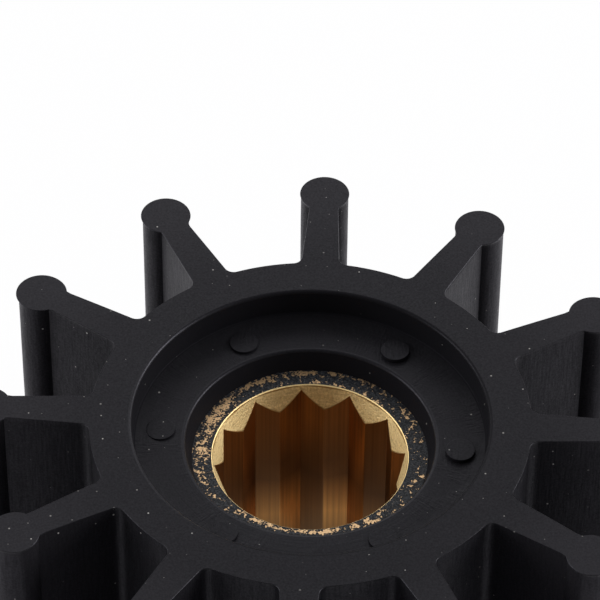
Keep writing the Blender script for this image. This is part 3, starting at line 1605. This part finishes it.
    def bareness(self, points: np.ndarray) -> np.ndarray:
        """Share of the film that is gone at some points of an end face.

        Each patch adds its strength times exp(-(a * a + b * b)), where a and b are the distances
        along and across the ring over the patch's half widths.

        Args:
            points: Array of shape (rows, columns, 3).

        Returns:
            Array of shape (rows, columns).
        """
        radius, angle = polar(points)
        total = np.zeros_like(radius)
        for middle, ring, along, across, strength in self.bare_patches:
            swing = (angle - middle + 180) % 360 - 180
            total += strength * np.exp(-((swing / along) ** 2) - ((radius - ring) / across) ** 2)
        return np.clip(total, 0, 1)

    def outside(self, shell: Shell) -> None:
        """The end faces with the small break round each mouth, and the bonded outside wall.

        Args:
            shell: The shell that gets them.
        """
        angles = self.columns()
        mouth, outer = self.mouth_diameter / 2, self.diameter / 2
        inner = mouth + self.rim_break
        face = self.width - self.depth
        chamfer = np.array([[mouth, face - self.rim_break], [inner, face]])
        radii = np.linspace(inner, outer, self.face_spans + 1)
        ring = paired(radii, face)
        for profile, finish, tone in (
            (chamfer, BrassFinish.TURNED, self.rim_tone),
            (ring, BrassFinish.FACED, 1.0),
        ):
            grid, uv = lathe(profile, angles)
            marks = paired(np.full(grid.shape[:2], tone), self.bareness(grid))
            shell.add_grid(grid, uv, finish, flip=True, marks=marks)
            grid, uv = lathe(paired(profile[:, 0], self.width - profile[:, 1]), angles)
            shell.add_grid(grid, uv, finish, marks=marks)
        wall = np.array([[outer, face], [outer, self.width / 2], [outer, self.depth]])
        grid, uv = lathe(wall, angles)
        shell.add_grid(grid, uv, BrassFinish.TURNED, flip=True)

    def build(self) -> bpy.types.Object:
        """Build and dress the insert.

        Returns:
            The finished object.
        """
        finishes = {
            BrassFinish.BROACHED: MachinedBrass(
                "broached_brass",
                upright=True,
                streaks=0.3,
                bright_hex="#f2b46c",
                dull_hex="#6c5541",
                roughness=0.3,
            ),
            BrassFinish.TURNED: MachinedBrass(
                "turned_brass",
                dull_hex="#a98450",
                roughness=0.62,
                lines=0.025,
                line_width=0.13,
                streaks=0.3,
                mottle=0.3,
                pits=0.07,
            ),
            BrassFinish.FACED: MachinedBrass(
                "faced_brass_with_rubber_film",
                film=True,
                bright_hex="#e0bd92",
                dull_hex="#5c4630",
                mottle=0.55,
            ),
        }
        shell = Shell()
        self.bore(shell)
        self.outside(shell)
        piece = shell.build("insert_metal", self.sharp_degrees)
        for number in BrassFinish:
            piece.data.materials.append(finishes[number].make())
        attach(piece, Body.ROOT.value)
        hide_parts("spline_insert")
        return piece


# ---------------------------------------------------------------- studio


@dataclass(frozen=True)
class Lamp:
    """A round lamp that points at the middle of the object.

    Attributes:
        name: The lamp's name.
        place: Where it hangs, in metres.
        power: Its power in watts.
        size: Its diameter in metres.
    """

    name: str
    place: tuple[float, float, float]
    power: float
    size: float = 0.6


@dataclass(frozen=True)
class Studio:
    """Plain pale floor, soft lamps and the camera."""

    aim: tuple[float, float, float] = (-2.492, 22.452, 63.5)  # mm
    distance: float = 559.4  # mm
    elevation: float = 45.18  # degrees above the floor
    heading: float = 2.393  # degrees that the view turns left of +Y
    roll: float = 0.519  # degrees
    lens: float = 241.34  # mm
    sensor: float = 36.0  # mm
    floor_size: float = 8.0  # m
    paper_hex: str = "#f1eff6"
    white_hex: str = "#ffffff"
    seen_glow: float = 0.94  # share of plain white in the floor that the camera sees
    mirrored_glow: float = 0.35  # share of plain white in the floor that gloss mirrors
    lamp_aim: tuple[float, float, float] = (0.0, 0.0, 0.05)  # m
    lamps: tuple[Lamp, ...] = (
        Lamp("lamp_behind", (-0.1, 0.75, 0.55), 1.05),
        Lamp("lamp_left", (-0.9, 0.0, 0.38), 3.9),
        Lamp("lamp_right", (0.88, 0.15, 0.36), 6.2),
    )
    world_light: float = 0.95
    # the surround's level changes from one part of a direction to another, between two levels:
    # (from, to, level at from, level at to)
    front_to_back: tuple[float, ...] = (-0.7, 0.0, 0.18, 1.0)  # darker on the camera's side
    middle_to_top: tuple[float, ...] = (0.65, 0.95, 1.0, 0.42)  # darker overhead
    middle_to_side: tuple[float, ...] = (0.3, 0.75, 0.0, 1.0)  # where a band at each side starts
    band_to_top: tuple[float, ...] = (0.3, 0.6, 1.0, 0.0)  # how high that band reaches
    band_floor: float = 0.9  # level outside the two bands; inside them it is 1 more

    def place_camera(self) -> None:
        """Put the camera on its line of sight, looking at its aim point."""
        up_angle, turn, roll = (math.radians(v) for v in (self.elevation, self.heading, self.roll))
        ahead = math.cos(up_angle)
        forward = np.array([-math.sin(turn) * ahead, math.cos(turn) * ahead, -math.sin(up_angle)])
        level = np.array([math.cos(turn), math.sin(turn), 0.0])
        above = np.cross(level, forward)
        right = math.cos(roll) * level + math.sin(roll) * above
        above = np.cross(right, forward)
        place = (np.array(self.aim) - self.distance * forward) * MM
        data = bpy.data.cameras.new("camera")
        data.lens = self.lens
        data.sensor_width = self.sensor
        camera = bpy.data.objects.new("camera", data)
        bpy.context.scene.collection.objects.link(camera)
        matrix = np.eye(4)
        matrix[:3] = np.stack([right, above, -forward, place], -1)
        camera.matrix_world = Matrix(matrix.tolist())
        bpy.context.scene.camera = camera

    def lay_floor(self) -> None:
        """A white floor that shows as white and still takes the object's shadow."""
        half = self.floor_size / 2
        mesh = bpy.data.meshes.new("floor")
        corners = [(-half, -half, 0), (half, -half, 0), (half, half, 0), (-half, half, 0)]
        mesh.from_pydata(corners, [], [(0, 1, 2, 3)])
        floor = bpy.data.objects.new("floor", mesh)
        bpy.context.scene.collection.objects.link(floor)
        material, tree = new_material("white_paper_floor")
        matt = add_node(tree, "BsdfDiffuse", values={"Color": linear(self.paper_hex)})
        glow = add_node(tree, "Emission", values={"Color": linear(self.white_hex), "Strength": 1.0})
        path = add_node(tree, "LightPath")
        gloss = {0: path.outputs["Is Glossy Ray"]}
        mirrored = add_node(tree, "Math", MULTIPLY, {1: self.mirrored_glow}, gloss)
        seen = {0: path.outputs["Is Camera Ray"], 2: mirrored}
        share = add_node(tree, "Math", MULTIPLY_ADD, {1: self.seen_glow}, seen)
        mixed = add_node(tree, "MixShader", links={0: share, 1: matt, 2: glow})
        add_node(tree, "OutputMaterial", links={"Surface": mixed})
        mesh.materials.append(material)

    def light_surround(self) -> None:
        """An even pale surround, darker in front and overhead, which the camera sees as white."""
        world = bpy.data.worlds.new("surround")
        bpy.context.scene.world = world
        world.use_nodes = True
        tree = world.node_tree
        tree.nodes.clear()
        way = add_node(
            tree, "SeparateXYZ", links={0: add_node(tree, "TexCoord").outputs["Generated"]}
        )
        across, ahead, up = way.outputs
        aside = add_node(tree, "Math", {"operation": "ABSOLUTE"}, links={0: across})
        behind, high, side, band = (
            add_node(tree, "MapRange", None, dict(enumerate(span, 1)), {0: part})
            for span, part in (
                (self.front_to_back, ahead),
                (self.middle_to_top, up),
                (self.middle_to_side, aside),
                (self.band_to_top, up),
            )
        )
        bands = add_node(tree, "Math", MULTIPLY_ADD, {2: self.band_floor}, {0: side, 1: band})
        level = add_node(tree, "Math", MULTIPLY, None, {0: behind, 1: high})
        level = add_node(tree, "Math", MULTIPLY, None, {0: level, 1: bands})
        level = add_node(tree, "Math", MULTIPLY, {1: self.world_light}, {0: level})
        seen = add_node(tree, "LightPath").outputs["Is Camera Ray"]
        level = add_node(tree, "Math", {"operation": "MAXIMUM"}, None, {0: level, 1: seen})
        white = {"Color": linear(self.white_hex)}
        shown = add_node(tree, "Background", None, white, {"Strength": level})
        add_node(tree, "OutputWorld", links={"Surface": shown})

    def hang_lamps(self) -> None:
        """A wide lamp behind the object and one at each side."""
        for lamp in self.lamps:
            data = bpy.data.lights.new(lamp.name, "AREA")
            data.shape = "DISK"
            data.size = lamp.size
            data.energy = lamp.power
            hung = bpy.data.objects.new(lamp.name, data)
            bpy.context.scene.collection.objects.link(hung)
            hung.location = lamp.place
            aim = np.array(self.lamp_aim) - np.array(lamp.place)
            hung.rotation_euler = Vector(aim).to_track_quat("-Z", "Y").to_euler()

    def set_up(self) -> None:
        """Build the whole studio."""
        self.place_camera()
        self.lay_floor()
        self.light_surround()
        self.hang_lamps()
        bpy.context.scene.view_settings.view_transform = "Standard"


def main() -> None:
    """Build the impeller's pieces and the studio."""
    logging.basicConfig(level=logging.INFO, format="%(name)s: %(message)s")
    for maker in (RubberBody(), SplineInsert()):
        piece = maker.build()
        LOG.info("%s: %d faces", piece.name, len(piece.data.polygons))
    Studio().set_up()


if __name__ == "__main__":
    main()
